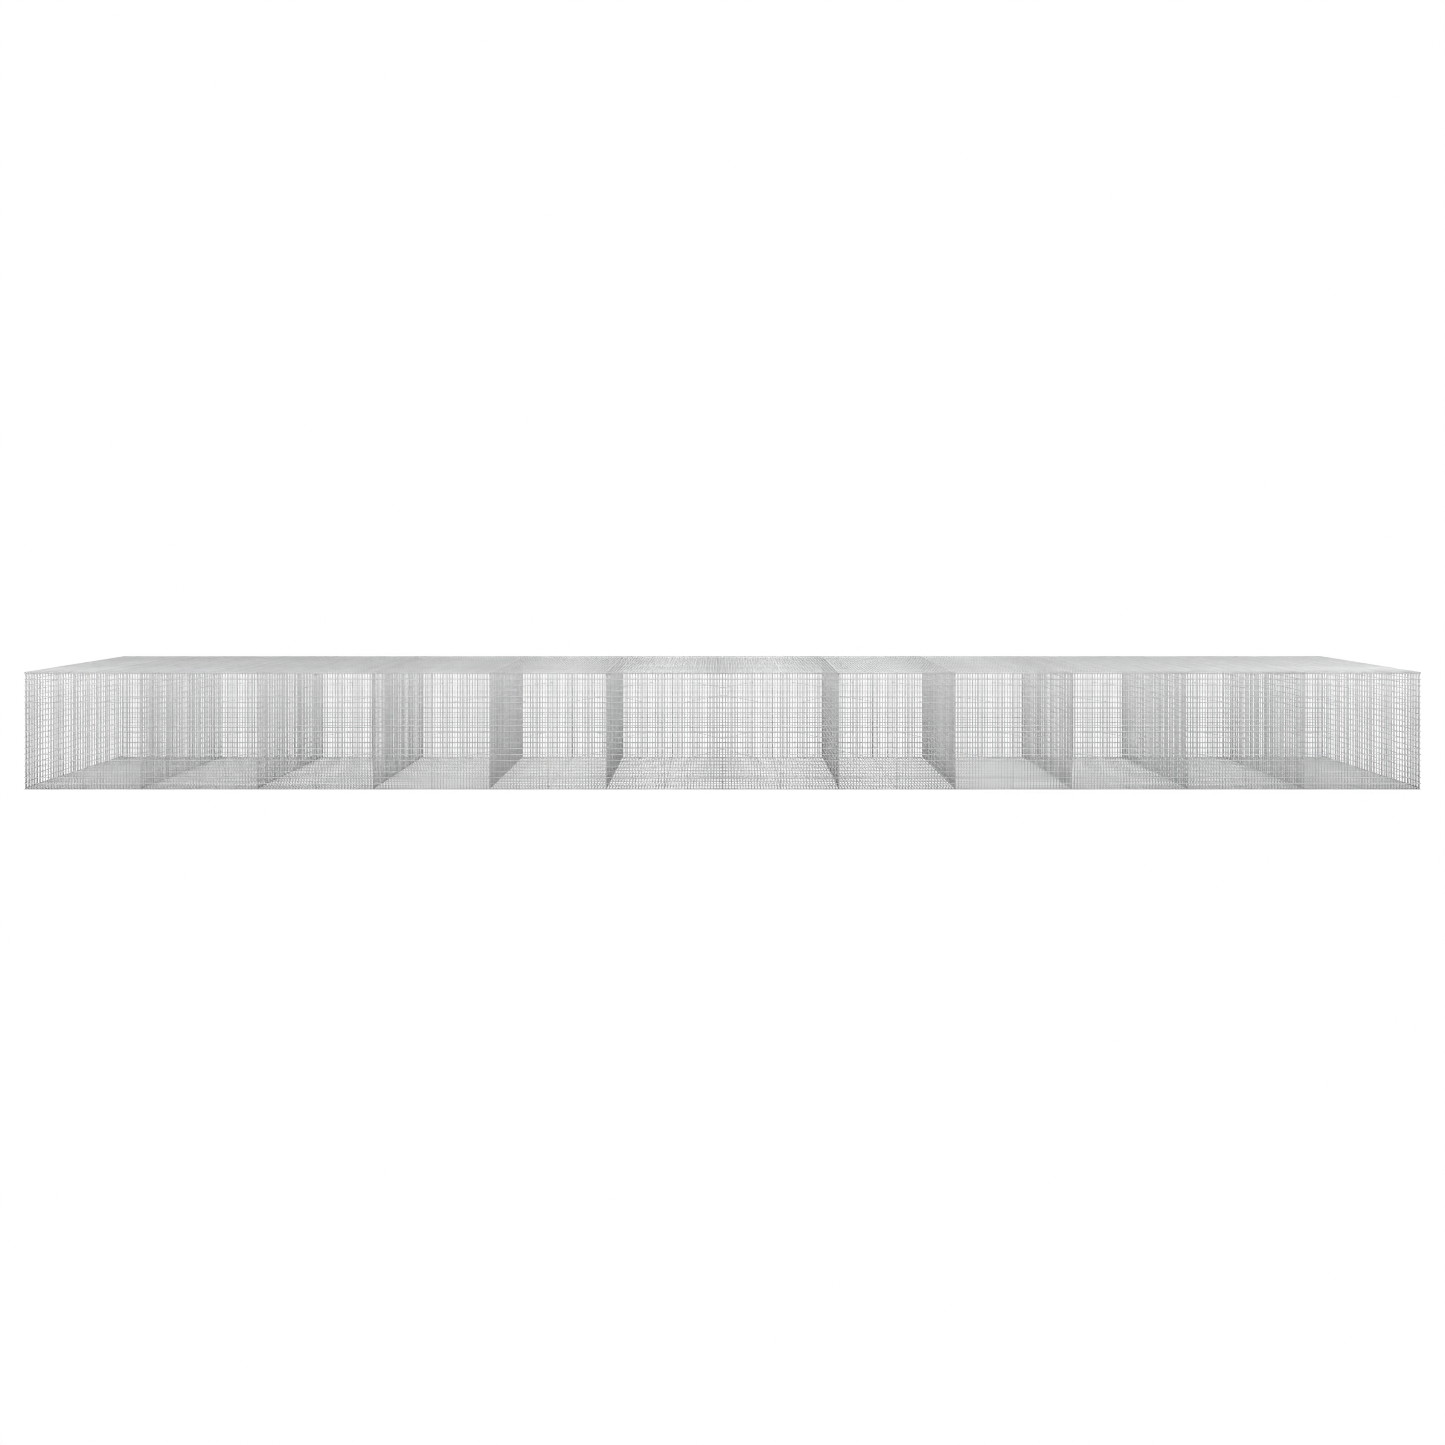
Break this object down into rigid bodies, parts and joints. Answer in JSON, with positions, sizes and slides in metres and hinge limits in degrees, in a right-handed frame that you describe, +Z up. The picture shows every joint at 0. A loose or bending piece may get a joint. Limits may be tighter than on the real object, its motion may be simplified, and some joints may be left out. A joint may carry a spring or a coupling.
{
  "type": "gabion wall",
  "caption": "Long, low retaining wall of empty welded wire mesh baskets in a straight row, with cross panels, hinged lids and corner brace wires.",
  "frame": {"origin": "middle of the wall's underside, on the ground", "axes": "+X along the wall to the right, -Y the front face, +Z up"},
  "size_m": [12, 1.01, 1.015],
  "materials": {
    "galvanised_mesh": "galvanised, dull zinc",
    "brace_wire": "galvanised, dull zinc",
    "ring_wire": "galvanised, dull zinc"
  },
  "bodies": {
    "cage": {"base_panels_1_3_5": "galvanised_mesh", "base_panels_2_4_6": "galvanised_mesh", "base_panels_7_9_11": "galvanised_mesh", "base_panels_8_10_12": "galvanised_mesh", "front_panels_1_3_5": "galvanised_mesh", "front_panels_2_4_6": "galvanised_mesh", "front_panels_7_9_11": "galvanised_mesh", "front_panels_8_10_12": "galvanised_mesh", "back_panels_1_3_5": "galvanised_mesh", "back_panels_2_4_6": "galvanised_mesh", "back_panels_7_9_11": "galvanised_mesh", "back_panels_8_10_12": "galvanised_mesh", "diaphragm_01": "galvanised_mesh", "diaphragm_02": "galvanised_mesh", "diaphragm_03": "galvanised_mesh", "diaphragm_04": "galvanised_mesh", "diaphragm_05": "galvanised_mesh", "diaphragm_06": "galvanised_mesh", "diaphragm_07": "galvanised_mesh", "diaphragm_08": "galvanised_mesh", "diaphragm_09": "galvanised_mesh", "diaphragm_10": "galvanised_mesh", "diaphragm_11": "galvanised_mesh", "end_panel_left": "galvanised_mesh", "end_panel_right": "galvanised_mesh", "hinge_rings": "ring_wire", "corner_braces_1_to_3": "brace_wire", "corner_braces_4_to_6": "brace_wire", "corner_braces_7_to_9": "brace_wire", "corner_braces_10_to_12": "brace_wire"},
    "lid_01_body": {"lid_01": "galvanised_mesh"},
    "lid_02_body": {"lid_02": "galvanised_mesh"},
    "lid_03_body": {"lid_03": "galvanised_mesh"},
    "lid_04_body": {"lid_04": "galvanised_mesh"},
    "lid_05_body": {"lid_05": "galvanised_mesh"},
    "lid_06_body": {"lid_06": "galvanised_mesh"},
    "lid_07_body": {"lid_07": "galvanised_mesh"},
    "lid_08_body": {"lid_08": "galvanised_mesh"},
    "lid_09_body": {"lid_09": "galvanised_mesh"},
    "lid_10_body": {"lid_10": "galvanised_mesh"},
    "lid_11_body": {"lid_11": "galvanised_mesh"},
    "lid_12_body": {"lid_12": "galvanised_mesh"}
  },
  "joints": [
    {"name": "lid_01_hinge", "type": "hinge", "parent": "cage", "child": "lid_01_body", "pos_m": [-5.5, 0.4985, 1.0085], "axis": [-1, 0, 0], "range_deg": [0, 270]},
    {"name": "lid_02_hinge", "type": "hinge", "parent": "cage", "child": "lid_02_body", "pos_m": [-4.5, 0.4985, 1.0085], "axis": [-1, 0, 0], "range_deg": [0, 270]},
    {"name": "lid_03_hinge", "type": "hinge", "parent": "cage", "child": "lid_03_body", "pos_m": [-3.5, 0.4985, 1.0085], "axis": [-1, 0, 0], "range_deg": [0, 270]},
    {"name": "lid_04_hinge", "type": "hinge", "parent": "cage", "child": "lid_04_body", "pos_m": [-2.5, 0.4985, 1.0085], "axis": [-1, 0, 0], "range_deg": [0, 270]},
    {"name": "lid_05_hinge", "type": "hinge", "parent": "cage", "child": "lid_05_body", "pos_m": [-1.5, 0.4985, 1.0085], "axis": [-1, 0, 0], "range_deg": [0, 270]},
    {"name": "lid_06_hinge", "type": "hinge", "parent": "cage", "child": "lid_06_body", "pos_m": [-0.5, 0.4985, 1.0085], "axis": [-1, 0, 0], "range_deg": [0, 270]},
    {"name": "lid_07_hinge", "type": "hinge", "parent": "cage", "child": "lid_07_body", "pos_m": [0.5, 0.4985, 1.0085], "axis": [-1, 0, 0], "range_deg": [0, 270]},
    {"name": "lid_08_hinge", "type": "hinge", "parent": "cage", "child": "lid_08_body", "pos_m": [1.5, 0.4985, 1.0085], "axis": [-1, 0, 0], "range_deg": [0, 270]},
    {"name": "lid_09_hinge", "type": "hinge", "parent": "cage", "child": "lid_09_body", "pos_m": [2.5, 0.4985, 1.0085], "axis": [-1, 0, 0], "range_deg": [0, 270]},
    {"name": "lid_10_hinge", "type": "hinge", "parent": "cage", "child": "lid_10_body", "pos_m": [3.5, 0.4985, 1.0085], "axis": [-1, 0, 0], "range_deg": [0, 270]},
    {"name": "lid_11_hinge", "type": "hinge", "parent": "cage", "child": "lid_11_body", "pos_m": [4.5, 0.4985, 1.0085], "axis": [-1, 0, 0], "range_deg": [0, 270]},
    {"name": "lid_12_hinge", "type": "hinge", "parent": "cage", "child": "lid_12_body", "pos_m": [5.5, 0.4985, 1.0085], "axis": [-1, 0, 0], "range_deg": [0, 270]}
  ]
}
